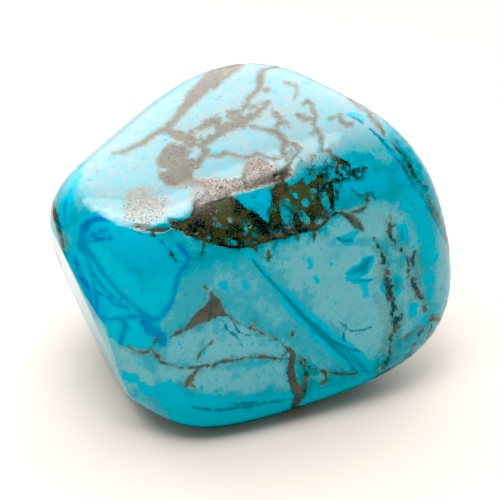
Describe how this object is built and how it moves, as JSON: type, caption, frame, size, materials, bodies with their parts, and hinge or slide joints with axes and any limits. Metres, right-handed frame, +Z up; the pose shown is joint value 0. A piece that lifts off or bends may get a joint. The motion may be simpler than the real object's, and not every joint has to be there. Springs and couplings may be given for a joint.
{
  "type": "turquoise nugget",
  "caption": "Tumbled turquoise stone with worn flat faces, rounded edges and a level underside, for display, setting dressing or as a gem specimen.",
  "frame": {"origin": "on the resting plane, under the middle of the stone's length and depth", "axes": "+X along the stone's length, +Y from its front to its back, +Z up from the level underside"},
  "size_m": [0.0366, 0.0262, 0.0273],
  "materials": {
    "turquoise_stone": "polished blue-green turquoise with brown and black matrix veins and patches"
  },
  "bodies": {
    "root": {"nugget": "turquoise_stone"}
  },
  "joints": []
}
